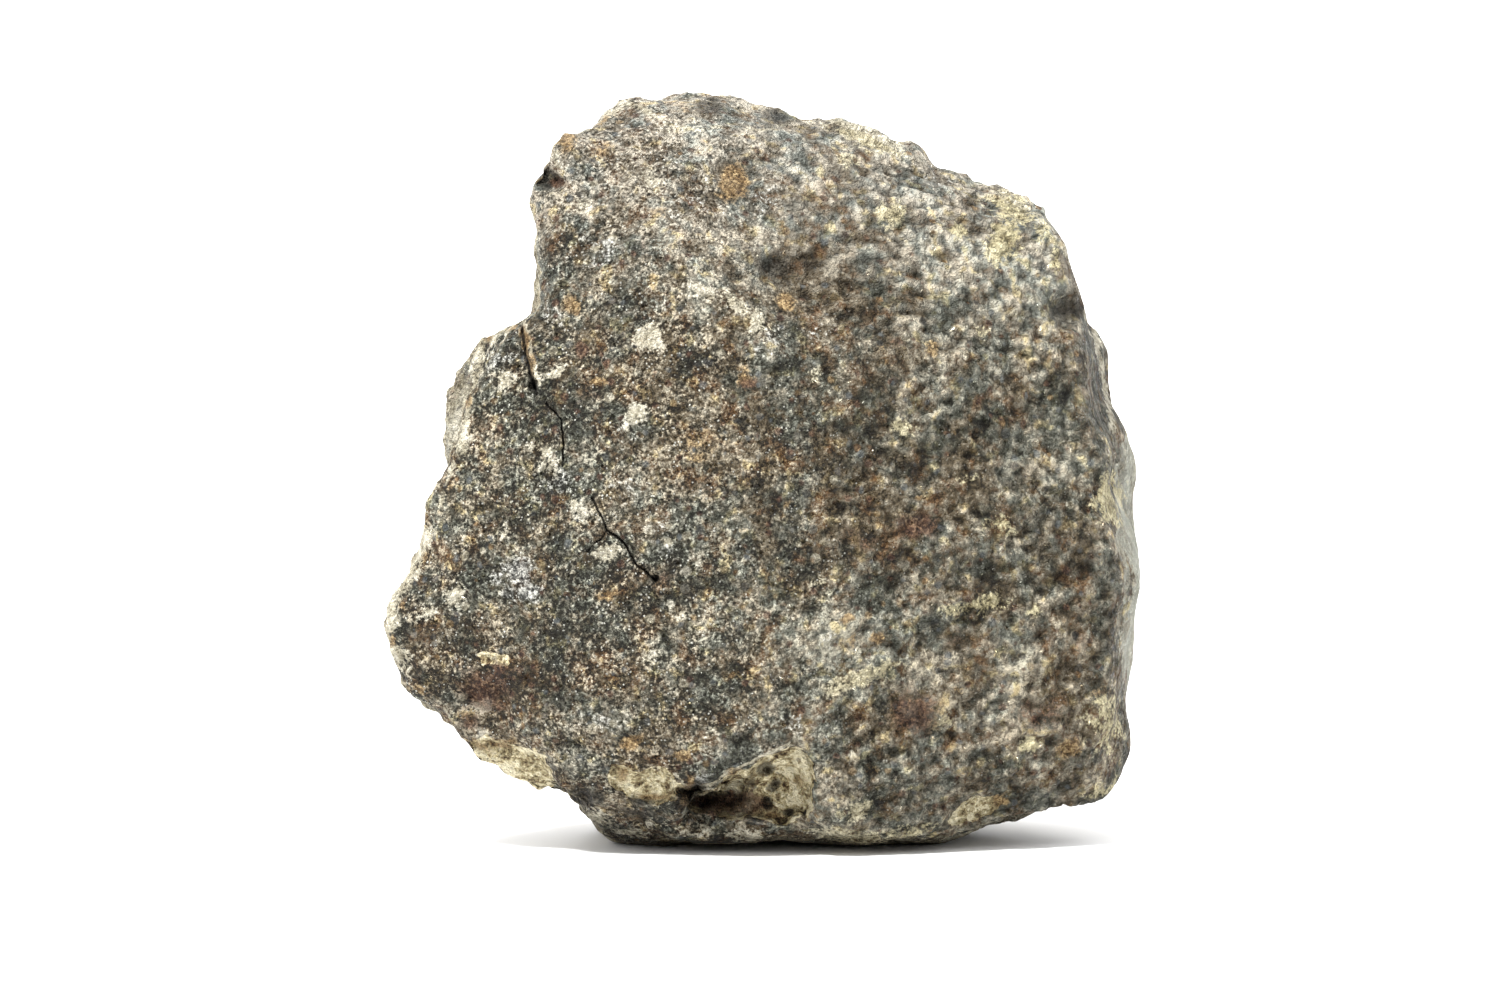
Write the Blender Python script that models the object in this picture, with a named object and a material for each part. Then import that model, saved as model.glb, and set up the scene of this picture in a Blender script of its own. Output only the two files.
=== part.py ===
"""Chondrite meteorite: one broken, weathered stone about 36 mm tall, standing on a small flat spot.

The frame is x to the right, y away from the viewer and z up, with the origin at the middle of the
flat spot. Corners are written in millimetres. The stone is built as a mason would rough it out:
a few faceted blocks are joined, chips are struck off, and the whole is then weathered with lumps,
ripples and pits before the bottom is ground flat.
"""

import bmesh
import bpy
import numpy as np
from mathutils import Vector, noise

MM = 0.001

# Driving sizes of the skin, in millimetres.
ROUGH_VOXEL = 0.42
FINE_VOXEL = 0.35
FLAT_MERGE = 0.02
ROUGH_ROUNDING_STEPS = 2
FINE_ROUNDING_STEPS = 1
TRIANGLES = 9000
BALL_SUBDIVISIONS = 4

# Lumps and knobs cover the whole stone.
LUMP_SIZE = 5.5
LUMP_HEIGHT = 0.5
KNOB_SIZE = 2.2
KNOB_HEIGHT = 0.26
NOISE_ROUGHNESS = 0.9
NOISE_OCTAVES = 2
NOISE_SHIFT = Vector((31.7, 4.2, 18.9))

# Broken facets cover the back and the sides. The front is calmer, with ripples on its right part.
FACET_SIZE = 5.0
FACET_SLOPE = 0.3
FACET_VARIETY = 7.3
RIPPLE_SPACING = 1.7
RIPPLE_HEIGHT = 0.2
RIPPLE_STRETCH = 0.35
RIPPLE_START_X = 0.0
RIPPLE_FULL_X = 6.0
FRONT_CALM = 0.5
FRONT_START = 0.2
FRONT_FULL = 0.8

STONE_COLOUR = (0.17, 0.155, 0.13, 1.0)
STONE_ROUGHNESS = 0.75

# The big block: front face, top crest, right wall, broken back and the bottom that it stands on.
MAIN_BLOCK = [
    (-10.5, -6.4, 33.2),
    (-11.5, -8.5, 26.3),
    (-11.8, -9.4, 23.0),
    (-12.0, -11.0, 14.0),
    (-12.0, -10.4, 6.0),
    (-10.4, -9.6, 3.2),
    (-8.2, -10.8, 24.0),
    (-9.0, -12.1, 15.0),
    (-8.5, -11.6, 6.0),
    (-4.6, -11.4, 25.0),
    (-4.2, -9.8, 28.4),
    (-5.5, -12.6, 16.0),
    (-4.5, -12.1, 6.0),
    (-5.5, -10.2, 2.1),
    (-0.4, -11.1, 24.3),
    (-1.0, -12.2, 14.0),
    (0.0, -11.8, 6.0),
    (-1.0, -10.6, 1.5),
    (5.0, -9.6, 24.0),
    (3.0, -11.4, 14.0),
    (3.5, -10.9, 6.0),
    (4.2, -9.6, 1.3),
    (7.6, -8.2, 1.7),
    (10.6, -7.0, 2.0),
    (9.5, -9.1, 10.0),
    (9.4, -8.6, 19.0),
    (15.8, -6.2, 5.0),
    (16.1, -6.4, 12.0),
    (15.2, -6.0, 20.0),
    (14.2, -4.6, 25.6),
    (13.0, -3.4, 29.2),
    (5.0, -4.0, 31.6),
    (0.0, -4.6, 33.2),
    (-5.5, -5.2, 34.4),
    (-9.7, -3.4, 34.2),
    (-8.8, -2.2, 35.2),
    (-7.0, -1.5, 35.4),
    (-4.4, -0.2, 36.3),
    (-2.4, 0.2, 36.3),
    (1.1, 0.5, 35.0),
    (5.4, 0.8, 32.7),
    (9.3, 0.8, 32.4),
    (13.2, 0.4, 31.2),
    (14.1, 0.0, 29.0),
    (14.3, -0.5, 26.0),
    (16.0, 0.2, 22.8),
    (16.7, 0.5, 20.0),
    (17.7, 1.5, 16.0),
    (17.8, 2.0, 12.5),
    (17.3, 0.5, 8.5),
    (17.0, -1.6, 5.6),
    (16.5, -3.0, 3.6),
    (16.3, -3.6, 2.0),
    (15.0, -4.2, 1.2),
    (-9.0, 4.0, 32.0),
    (-6.0, 8.4, 29.5),
    (3.0, 9.8, 29.0),
    (10.5, 6.6, 27.0),
    (14.0, 8.8, 17.0),
    (13.2, 9.0, 8.0),
    (12.2, 7.4, 3.4),
    (2.5, 12.3, 15.5),
    (-6.5, 12.5, 18.5),
    (-11.6, 8.8, 13.0),
    (-10.2, 8.0, 4.4),
    (1.0, 9.4, 2.2),
    (-11.8, 3.5, 26.0),
    (-8.0, -3.2, -0.4),
    (-8.0, 0.0, -0.4),
    (-5.6, 3.5, -0.4),
    (0.0, 4.2, -0.4),
    (6.0, 3.4, -0.4),
    (7.6, 0.4, -0.4),
    (6.6, -3.4, -0.4),
    (3.0, -4.6, -0.4),
    (-2.5, -4.6, -0.4),
]

# The slab on the left, set back from the front face, down to the pointed left tip.
LEFT_SLAB = [
    (-12.2, -8.4, 25.4),
    (-13.9, -8.7, 25.1),
    (-14.4, -9.1, 22.2),
    (-15.1, -9.4, 18.5),
    (-15.3, -9.6, 15.5),
    (-16.7, -9.2, 12.9),
    (-19.1, -8.2, 10.6),
    (-18.9, -8.2, 9.2),
    (-15.6, -8.6, 7.4),
    (-14.6, -8.3, 5.1),
    (-13.7, -7.8, 3.7),
    (-12.4, -7.4, 2.6),
    (-11.0, -6.8, 2.4),
    (-11.0, -9.9, 22.5),
    (-11.0, -11.2, 14.0),
    (-11.0, -10.8, 7.5),
    (-12.0, -2.0, 24.0),
    (-15.5, -1.0, 14.0),
    (-16.5, -2.0, 10.5),
    (-13.0, 0.0, 6.0),
    (-9.0, -3.0, 3.0),
    (-9.0, -5.0, 24.0),
]

# The lump on the left of the back, which shows past the front edge.
BACK_LUMP = [
    (-17.0, 4.0, 24.3),
    (-16.6, 5.2, 22.8),
    (-16.8, 4.0, 19.4),
    (-16.2, 4.0, 16.5),
    (-13.6, 1.0, 22.0),
    (-13.8, 8.0, 21.0),
    (-10.5, 3.0, 25.6),
    (-10.0, 8.5, 24.5),
    (-13.6, 8.0, 15.0),
    (-13.0, 1.0, 13.0),
    (-9.0, 5.0, 14.0),
]

# The rounded lump high on the left edge.
SHOULDER_LUMP = [
    (-11.4, -5.4, 32.0),
    (-11.9, -5.6, 31.2),
    (-11.8, -6.0, 30.4),
    (-11.3, -6.6, 29.2),
    (-10.6, -7.2, 32.2),
    (-10.8, -4.0, 32.4),
    (-11.0, -4.0, 30.0),
    (-8.0, -4.0, 32.4),
    (-8.0, -5.0, 28.0),
]

# The hollow under the lip of the front face.
LIP_HOLLOW = [
    (-5.2, -14.0, 3.6),
    (-2.6, -14.0, 3.8),
    (0.6, -14.0, 5.2),
    (2.0, -14.0, 4.2),
    (2.2, -14.0, -1.5),
    (-5.3, -14.0, -1.5),
    (-4.4, -8.8, 3.2),
    (0.9, -9.4, 4.8),
    (1.6, -9.0, -1.5),
    (-4.6, -8.2, -1.5),
]

# What is ground off the bottom, so that the stone stands on a small flat spot.
GROUND_OFF = [
    (-15.0, -15.0, -5.0),
    (15.0, -15.0, -5.0),
    (15.0, 15.0, -5.0),
    (-15.0, 15.0, -5.0),
    (-15.0, -15.0, 0.0),
    (15.0, -15.0, 0.0),
    (15.0, 15.0, 0.0),
    (-15.0, 15.0, 0.0),
]

ADDED_BLOCKS = {
    "left_slab": LEFT_SLAB,
    "back_lump": BACK_LUMP,
    "shoulder_lump": SHOULDER_LUMP,
}

# Scoops struck out of the back, the sides and the underside: centre and radius of each.
SCOOPS = [
    ((4.5, 19.6, 24.5), 12.0),
    ((-8.0, 19.6, 8.0), 12.2),
    ((19.5, 16.5, 6.0), 12.0),
    ((-3.0, 11.5, 41.5), 11.2),
    ((21.5, 12.0, 27.0), 11.5),
    ((-21.0, -2.5, 26.0), 9.6),
    ((12.8, -4.5, -7.9), 9.6),
]

# Pits and dents: centre, radius and depth of each, pressed straight in.
PITS = [
    ((-10.7, -6.8, 31.9), 1.0, 1.6),
    ((13.9, -4.9, 25.7), 1.5, 1.1),
    ((1.2, -8.8, 27.8), 3.2, 1.0),
    ((-14.0, -9.9, 7.4), 2.2, 0.6),
    ((-17.6, -8.6, 14.3), 2.8, 0.9),
    ((9.4, -7.8, 2.0), 1.8, 0.7),
    ((-6.4, -10.8, 3.2), 1.6, 0.5),
    ((-3.5, -8.9, 2.2), 1.5, 1.6),
    ((-4.0, 11.6, 13.0), 2.0, 0.9),
    ((7.5, 9.8, 14.0), 1.4, 0.8),
    ((17.2, 4.5, 18.5), 1.5, 0.6),
]


def corner_block(name, corners):
    """A closed block with flat facets: the convex hull of its corners."""
    shape = bmesh.new()
    for corner in corners:
        shape.verts.new(Vector(corner) * MM)
    bmesh.ops.convex_hull(shape, input=shape.verts)
    inside = [vert for vert in shape.verts if not vert.link_faces]
    bmesh.ops.delete(shape, geom=inside, context="VERTS")
    bmesh.ops.recalc_face_normals(shape, faces=shape.faces)
    mesh = bpy.data.meshes.new(name)
    shape.to_mesh(mesh)
    shape.free()
    return helper(name, mesh)


def ball(name, centre, radius):
    shape = bmesh.new()
    bmesh.ops.create_icosphere(shape, subdivisions=BALL_SUBDIVISIONS, radius=radius * MM)
    bmesh.ops.translate(shape, verts=shape.verts, vec=Vector(centre) * MM)
    mesh = bpy.data.meshes.new(name)
    shape.to_mesh(mesh)
    shape.free()
    return helper(name, mesh)


def helper(name, mesh):
    """An object that only shapes the stone and isn't rendered."""
    body = bpy.data.objects.new(name, mesh)
    body.hide_render = True
    body.display_type = "WIRE"
    bpy.context.scene.collection.objects.link(body)
    return body


def combine(body, other, operation):
    step = body.modifiers.new(other.name, "BOOLEAN")
    step.operation = operation
    step.solver = "EXACT"
    step.object = other


def evaluated_mesh(body, name):
    """The mesh of a body with its modifiers carried out."""
    bpy.context.view_layer.update()
    graph = bpy.context.evaluated_depsgraph_get()
    mesh = bpy.data.meshes.new_from_object(body.evaluated_get(graph))
    mesh.name = name
    return mesh


def even_skin(body, voxel, rounding_steps):
    """Gives a body an even skin of small squares, with its edges a little rounded."""
    skin = body.modifiers.new("skin", "REMESH")
    skin.mode = "VOXEL"
    skin.voxel_size = voxel * MM
    rounding = body.modifiers.new("rounding", "SMOOTH")
    rounding.iterations = rounding_steps


def rough_stone():
    """The joined blocks less the chips, with an even skin of small squares."""
    body = corner_block("main_block", MAIN_BLOCK)
    for name, corners in ADDED_BLOCKS.items():
        combine(body, corner_block(name, corners), "UNION")
    combine(body, corner_block("lip_hollow", LIP_HOLLOW), "DIFFERENCE")
    for index, (centre, radius) in enumerate(SCOOPS):
        combine(body, ball(f"scoop_{index}", centre, radius), "DIFFERENCE")
    even_skin(body, ROUGH_VOXEL, ROUGH_ROUNDING_STEPS)
    return evaluated_mesh(body, "rough_stone")


def smooth_step(value, start, end):
    t = np.clip((value - start) / (end - start), 0.0, 1.0)
    return t * t * (3.0 - 2.0 * t)


def broken_facets(place):
    """Small flat facets, each tilted its own way, as on freshly broken stone."""
    distances, seeds = noise.voronoi(place / FACET_SIZE)
    away = place / FACET_SIZE - seeds[0]
    tilt = [noise.noise(seeds[0] * FACET_VARIETY + NOISE_SHIFT * turn) for turn in (1, 2, 3)]
    return FACET_SLOPE * FACET_SIZE * Vector(tilt).dot(away)


def relief(place, facing_front):
    """Height of the weathered surface over the rough one at a place, in millimetres."""
    lumps = noise.fractal(place / LUMP_SIZE + NOISE_SHIFT, NOISE_ROUGHNESS, 2.0, NOISE_OCTAVES)
    knobs = noise.fractal(place / KNOB_SIZE - NOISE_SHIFT, NOISE_ROUGHNESS, 2.0, NOISE_OCTAVES)
    calm = 1.0 + (FRONT_CALM - 1.0) * facing_front
    drift = Vector((place.x * RIPPLE_STRETCH, place.y, place.z)) / RIPPLE_SPACING
    rippled = facing_front * smooth_step(place.x, RIPPLE_START_X, RIPPLE_FULL_X)
    ripples = RIPPLE_HEIGHT * rippled * noise.noise(drift + NOISE_SHIFT)
    broken = (1.0 - facing_front) * broken_facets(place)
    return calm * (LUMP_HEIGHT * lumps + KNOB_HEIGHT * knobs) + ripples + broken


def weather(mesh):
    """Moves the skin in and out by the relief, then presses the pits in."""
    count = len(mesh.vertices)
    places = np.empty(count * 3)
    mesh.vertices.foreach_get("co", places)
    places = places.reshape(-1, 3) / MM
    normals = np.empty(count * 3)
    mesh.vertex_normals.foreach_get("vector", normals)
    normals = normals.reshape(-1, 3)
    front = smooth_step(-normals[:, 1], FRONT_START, FRONT_FULL)
    height = [relief(Vector(place), share) for place, share in zip(places, front)]
    moved = places + normals * np.array(height)[:, None]
    for centre, radius, depth in PITS:
        distance = np.linalg.norm(places - np.array(centre), axis=1) / radius
        press = depth * np.clip(1.0 - distance**2, 0.0, None) ** 2
        moved -= normals * press[:, None]
    mesh.vertices.foreach_set("co", (moved * MM).ravel())
    mesh.update()


def finished_mesh(mesh):
    """The stone with fewer, larger triangles where it is even, and its bottom ground flat at z = 0."""
    body = helper("full_stone", mesh)
    mesh.calc_loop_triangles()
    fewer = body.modifiers.new("fewer", "DECIMATE")
    fewer.ratio = TRIANGLES / len(mesh.loop_triangles)
    combine(body, corner_block("ground_off", GROUND_OFF), "DIFFERENCE")
    finished = evaluated_mesh(body, "meteorite")
    shape = bmesh.new()
    shape.from_mesh(finished)
    for vert in shape.verts:
        if vert.co.z < FLAT_MERGE * MM:
            vert.co.z = 0.0
    bmesh.ops.remove_doubles(shape, verts=shape.verts, dist=FLAT_MERGE * MM)
    shape.to_mesh(finished)
    shape.free()
    return finished


def stone_material():
    material = bpy.data.materials.new("chondrite")
    material.use_nodes = True
    shader = material.node_tree.nodes["Principled BSDF"]
    shader.inputs["Base Color"].default_value = STONE_COLOUR
    shader.inputs["Roughness"].default_value = STONE_ROUGHNESS
    shader.inputs["Metallic"].default_value = 0.0
    return material


def main():
    for old in list(bpy.data.objects):
        bpy.data.objects.remove(old)
    mesh = rough_stone()
    weather(mesh)
    weathered = helper("weathered_stone", mesh)
    even_skin(weathered, FINE_VOXEL, FINE_ROUNDING_STEPS)
    mesh = finished_mesh(evaluated_mesh(weathered, "fine_stone"))
    mesh.materials.append(stone_material())
    stone = bpy.data.objects.new("meteorite", mesh)
    bpy.context.scene.collection.objects.link(stone)
    for old in list(bpy.data.objects):
        if old is not stone:
            bpy.data.objects.remove(old)


main()
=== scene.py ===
"""The looks of the chondrite meteorite: its weathered crust, cracks, pits, chips and broken sides.

Lengths are in millimetres until the mesh is finished. The frame is x to the right, y away from the
viewer and z up. Places on the front face are named by the pixel at which the camera sees them, in a
frame of 1500 by 1000 pixels.
"""

import math
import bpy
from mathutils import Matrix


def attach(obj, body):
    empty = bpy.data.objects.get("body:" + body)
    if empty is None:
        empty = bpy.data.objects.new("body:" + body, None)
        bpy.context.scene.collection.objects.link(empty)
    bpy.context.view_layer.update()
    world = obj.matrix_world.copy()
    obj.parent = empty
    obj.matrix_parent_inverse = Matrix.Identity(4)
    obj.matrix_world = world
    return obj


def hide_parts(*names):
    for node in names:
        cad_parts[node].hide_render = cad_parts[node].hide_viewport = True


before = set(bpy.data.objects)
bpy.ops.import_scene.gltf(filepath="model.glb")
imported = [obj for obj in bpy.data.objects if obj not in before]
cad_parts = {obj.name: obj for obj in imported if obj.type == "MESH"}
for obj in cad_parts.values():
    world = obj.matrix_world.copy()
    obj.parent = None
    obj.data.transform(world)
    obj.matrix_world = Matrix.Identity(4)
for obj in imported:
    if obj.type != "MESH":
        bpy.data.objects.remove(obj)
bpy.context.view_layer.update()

from types import SimpleNamespace

import bmesh
import bpy
import numpy as np
from mathutils import Vector, noise

MM = 0.001

# Camera: 300 mm in front of the stone and slightly above it.
FRAME_SIZE = (1500, 1000)
LENS = 151.2
SENSOR = 36.0
TARGET = np.array((-1.43, -6.0, 16.67))
DISTANCE = 300.0
ELEVATION = math.radians(3.5)

# The skin: edge length of its small squares, how often it is rounded, and how many pixels round the
# carved lines, the cracks and the pits it is made finer.
SKIN_VOXEL = 0.43
SKIN_ROUNDING = 3
DETAIL_REACH = 7.0
CRACK_REACH = 4.0
PIT_MARGIN = 3

# The noises that make straight outlines ragged: how many pixels each shifts them, the size of its
# waves, and where it starts for each direction. The wall's edge has only pixels across and down.
LINE_WAVES = [(2.2, 0.5, 1.7, 6.3)]
CHIP_WAVES = [(4.0, 0.5, 3.3, 8.1), (7.0, 1.2, 5.2, 1.9)]
MARK_WAVES = [(3.0, 0.45, 2.9, 7.7), (5.0, 1.5, 4.1, 9.3)]
WALL_RAGGEDNESS = (4.0, 22.0)

# Cracks: pixels along each, from end to end, with its half width in pixels and its depth.
CRACKS = {
    "ledge_groove": ([(521, 322), (524, 343), (527, 360), (531, 377), (537, 394)], 2.2, 0.6),
    "hooked_crack": ([(546, 404), (555, 411), (561, 420), (563, 434), (564, 447), (562, 466)], 1.0, 0.35),
    "long_crack": (
        [(593, 498), (599, 512), (604, 523), (607, 531), (615, 537), (622, 541), (628, 547),
         (630, 556), (636, 564), (645, 571), (655, 579)],
        1.1,
        0.4,
    ),
    "side_crack": ([(607, 531), (599, 541), (592, 546), (586, 552)], 0.8, 0.22),
    "upper_hairline": ([(519, 296), (523, 310), (521, 322)], 0.9, 0.25),
    "rim_line": ([(655, 579), (651, 586), (655, 593), (660, 604)], 0.6, 0.12),
}

# Pits: centre, radius in pixels and depth.
PITS = [
    ((656, 578), 5, 0.45),
    ((584, 798), 9, 0.8),
    ((546, 180), 15, 0.9),
    ((560, 184), 8, 0.5),
    ((533, 386), 6, 0.5),
    ((711, 106), 8, 0.3),
    ((778, 117), 9, 0.3),
    ((767, 768), 5, 0.45),
    ((775, 786), 4, 0.35),
    ((766, 803), 6, 0.5),
    ((790, 815), 4, 0.3),
    ((748, 668), 3, 0.2),
    ((774, 271), 16, 0.35),
    ((812, 262), 14, 0.3),
    ((840, 290), 12, 0.25),
    ((1067, 308), 22, 0.6),
    ((1083, 803), 7, 0.5),
    ((936, 372), 7, 0.2),
    ((926, 247), 6, 0.25),
    ((962, 560), 7, 0.2),
    ((640, 820), 8, 0.35),
]

# The outline of the hollow under the lip, of the chips, and how deep each is struck out.
HOLLOW = [
    (676, 776), (686, 787), (700, 789), (712, 786), (725, 775), (745, 765), (760, 758), (775, 752),
    (790, 744), (802, 744), (812, 752), (818, 766), (818, 782), (812, 800), (806, 818), (780, 824),
    (750, 815), (720, 818), (692, 812), (680, 802),
]
PATCH_CHIP = [
    (607, 766), (632, 768), (660, 764), (673, 772), (680, 786), (677, 802), (650, 800), (628, 797),
    (612, 784),
]
LEFT_CHIP = [
    (470, 738), (492, 735), (512, 740), (532, 748), (550, 760), (556, 775), (552, 792), (520, 790),
    (486, 772),
]
OLIVE_CHIP = [(946, 822), (958, 805), (975, 795), (995, 797), (1003, 805), (990, 818), (965, 826)]
CRESCENT_CHIP = [(478, 657), (492, 653), (510, 657), (514, 665), (505, 668), (492, 663), (482, 666)]
CAVITY = [
    (679, 787), (700, 790), (714, 787), (727, 777), (742, 775), (750, 790), (738, 808), (705, 811),
    (685, 804),
]
CHIPS = [
    (HOLLOW, 0.75),
    (CAVITY, 1.1),
    (PATCH_CHIP, 0.28),
    (LEFT_CHIP, 0.3),
    (OLIVE_CHIP, 0.3),
    (CRESCENT_CHIP, 0.12),
]

# Thin pale edges where the crust breaks off: pixels along each, half width in pixels and strength.
PALE_EDGES = [
    (
        [(675, 774), (685, 785), (700, 787), (712, 785), (725, 774), (745, 764), (760, 757), (775, 751),
         (790, 744)],
        1.6,
        1.0,
    ),
    ([(523, 318), (527, 334), (530, 350), (534, 366), (540, 384)], 2.0, 0.8),
    ([(476, 372), (483, 338), (494, 326), (508, 320), (521, 319)], 6.0, 1.0),
    ([(592, 112), (606, 106), (622, 102), (642, 108), (660, 118)], 3.4, 0.9),
    ([(690, 131), (720, 127), (760, 130), (790, 124)], 1.8, 0.6),
    ([(780, 104), (812, 112), (845, 124), (872, 132), (898, 147)], 3.6, 1.0),
    ([(960, 168), (985, 184), (1008, 200), (1040, 214)], 3.0, 0.7),
    ([(478, 372), (471, 400), (458, 446), (449, 476), (440, 505)], 3.0, 0.8),
    ([(383, 655), (386, 620), (400, 590), (415, 566), (424, 535)], 7.0, 0.9),
    ([(1064, 246), (1074, 268), (1082, 292)], 3.0, 0.7),
    ([(1086, 312), (1098, 345), (1106, 390), (1113, 430)], 3.0, 0.8),
]

# The slab on the left, which lies behind the rest of the front face.
LEDGE_LINE = [
    (519, 300), (521, 322), (524, 343), (527, 360), (531, 377), (537, 394), (535, 420), (525, 450),
]
LEDGE_DEPTH = 0.5
LEDGE_EDGE = [(506, 300), (498, 318), (484, 336), (478, 372), (471, 400), (456, 450), (448, 476)]
LEDGE_FADE = (395, 450)

# Where the crust ends at the right, before the smooth wall.
WALL_EDGE = [
    (1150, 300), (1141, 380), (1129, 425), (1116, 455), (1119, 500), (1117, 560), (1118, 620), (1121, 670),
    (1130, 710), (1143, 745), (1150, 800),
]

# The ridge that crosses the upper middle of the face.
RIDGE_LINE = [(672, 250), (690, 270), (705, 288), (725, 300), (745, 318), (757, 335), (775, 352)]
RIDGE_HEIGHT = 0.45
RIDGE_WIDTH = 16.0

# Broad areas that are lighter, browner, greyer or darker than the rest. Each has its centre, half width
# and half height in pixels, its turn in degrees and its strength.
LIGHT_AREAS = [
    ((900, 660), 150, 80, -10, 0.18), ((970, 750), 130, 50, -10, 0.2), ((740, 740), 120, 50, 0, 0.04),
    ((1070, 600), 40, 130, 0, 0.12), ((1030, 290), 50, 40, 30, 0.12), ((620, 190), 80, 40, 0, 0.02),
    ((760, 260), 60, 50, 30, 0.1), ((550, 480), 50, 40, 40, 0.05), ((700, 112), 150, 24, 0, 0.1),
    ((780, 590), 60, 40, 0, 0.05), ((560, 520), 60, 30, 40, 0.05), ((1000, 260), 70, 50, 20, 0.06),
]
BROWN_AREAS = [
    ((700, 440), 60, 40, 0, 0.1), ((620, 370), 60, 40, 20, 0.08), ((900, 520), 70, 40, 0, 0.1),
    ((900, 710), 70, 40, 0, 0.1), ((480, 690), 50, 40, 20, 0.12), ((1040, 700), 50, 40, 0, 0.08),
    ((640, 210), 70, 50, 0, 0.08), ((820, 300), 60, 40, 0, 0.08), ((920, 350), 40, 30, 0, 0.08),
    ((640, 750), 60, 24, 0, 0.08), ((470, 420), 30, 50, 0, 0.08), ((860, 200), 70, 30, 10, 0.06),
]
SLATE_AREAS = [
    ((560, 440), 50, 50, 0, 0.1), ((520, 580), 60, 50, 0, 0.08), ((600, 260), 50, 40, 0, 0.08),
    ((720, 570), 60, 60, 0, 0.08), ((500, 360), 30, 40, 0, 0.08), ((860, 780), 90, 40, 0, 0.1),
    ((780, 720), 60, 40, 0, 0.06), ((1030, 420), 60, 60, 0, 0.08), ((900, 640), 60, 40, 0, 0.06),
    ((720, 780), 50, 20, 0, 0.1), ((1000, 800), 60, 20, 0, 0.08), ((1030, 290), 40, 40, 0, 0.05),
]
DARK_AREAS = [
    ((750, 180), 130, 45, 5, 0.14), ((555, 330), 75, 90, 0, 0.17), ((560, 630), 130, 110, 0, 0.18),
    ((620, 410), 70, 50, 0, 0.14), ((660, 400), 70, 45, 10, 0.15), ((790, 510), 90, 50, 0, 0.13),
    ((600, 600), 90, 50, -20, 0.08), ((470, 560), 50, 60, 0, 0.07), ((560, 350), 40, 50, 0, 0.08),
    ((480, 660), 60, 40, 30, 0.06), ((790, 275), 40, 26, 10, 0.12), ((700, 600), 50, 40, 0, 0.03),
    ((880, 450), 80, 30, 0, 0.06), ((545, 270), 30, 50, 0, 0.06), ((580, 440), 60, 60, 0, 0.06),
    ((560, 640), 90, 30, 0, 0.06), ((910, 360), 60, 30, 0, 0.05),
]

# Marks of colour, described in the same way.
CREAM_MARKS = [
    ((600, 113), 24, 7, -4, 1.0), ((672, 126), 34, 4, 2, 0.5), ((735, 128), 40, 3, -4, 0.3),
    ((800, 120), 40, 5, -5, 0.4), ((868, 140), 34, 7, 24, 1.0), ((850, 160), 12, 9, 0, 0.7),
    ((890, 214), 14, 11, 0, 1.0), ((957, 231), 12, 7, 10, 1.0), ((1012, 208), 22, 13, 30, 1.1),
    ((1003, 240), 14, 20, 20, 1.1), ((1040, 232), 10, 12, 0, 0.7), ((1058, 262), 7, 14, 0, 0.7),
    ((583, 205), 8, 7, 0, 0.7), ((648, 178), 13, 14, 0, 0.55), ((572, 305), 9, 7, 30, 0.8),
    ((503, 377), 14, 9, 20, 0.8), ((492, 336), 12, 9, -40, 0.9), ((510, 326), 10, 6, 0, 0.8),
    ((556, 371), 13, 4, -35, 0.8), ((648, 337), 13, 11, 0, 1.5), ((705, 292), 20, 7, 25, 0.9),
    ((738, 302), 14, 8, 40, 0.9), ((757, 323), 9, 12, 10, 0.9), ((637, 413), 9, 9, 0, 0.95),
    ((632, 430), 7, 5, 0, 0.6), ((540, 449), 13, 8, 40, 0.8), ((575, 505), 6, 7, 0, 1.0),
    ((500, 529), 9, 9, 0, 0.6), ((608, 552), 14, 10, -20, 1.1), ((584, 516), 10, 8, 60, 0.6),
    ((548, 468), 10, 14, -30, 0.6), ((461, 444), 9, 14, -25, 1.0), ((455, 596), 9, 12, 0, 0.9),
    ((430, 612), 9, 9, 0, 0.7), ((396, 655), 14, 11, 20, 1.1), ((392, 620), 7, 22, 8, 0.8),
    ((412, 575), 6, 16, 25, 0.8), ((432, 535), 5, 12, 30, 0.8), ((480, 706), 9, 7, 0, 0.9),
    ((478, 726), 7, 8, 0, 0.6), ((900, 425), 12, 10, 20, 0.7), ((932, 347), 7, 6, 0, 0.7),
    ((1000, 525), 16, 9, 10, 0.8), ((985, 605), 22, 9, -8, 0.8), ((950, 612), 14, 6, 0, 0.6),
    ((865, 678), 34, 8, -18, 1.0), ((838, 690), 14, 7, -20, 0.7), ((940, 722), 10, 12, 20, 0.7),
    ((1030, 745), 14, 7, 0, 0.8), ((1108, 500), 13, 20, 0, 1.1), ((850, 838), 34, 8, 8, 0.9),
    ((860, 812), 16, 7, -25, 0.7), ((905, 832), 26, 5, -18, 0.7), ((1100, 790), 20, 8, -25, 0.7),
    ((1105, 722), 18, 30, 0, 0.6), ((680, 610), 14, 12, 30, 0.5), ((683, 690), 9, 18, 20, 0.55),
    ((712, 735), 8, 20, 20, 0.5), ((700, 560), 12, 8, 0, 0.4), ((760, 640), 10, 7, 0, 0.45),
    ((820, 585), 12, 7, 30, 0.45), ((905, 515), 12, 6, 0, 0.4), ((1035, 610), 12, 8, 0, 0.5),
    ((968, 480), 9, 8, 0, 0.4), ((815, 372), 12, 6, -20, 0.5), ((980, 330), 10, 7, 0, 0.4),
    ((575, 760), 14, 6, 0, 0.4), ((650, 655), 16, 7, -35, 0.45), ((600, 818), 16, 6, 35, 0.8),
    ((632, 833), 20, 5, 12, 0.75), ((690, 830), 18, 5, 0, 0.6), ((745, 836), 26, 5, 4, 0.7),
    ((655, 824), 10, 5, 10, 0.5),
]
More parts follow.
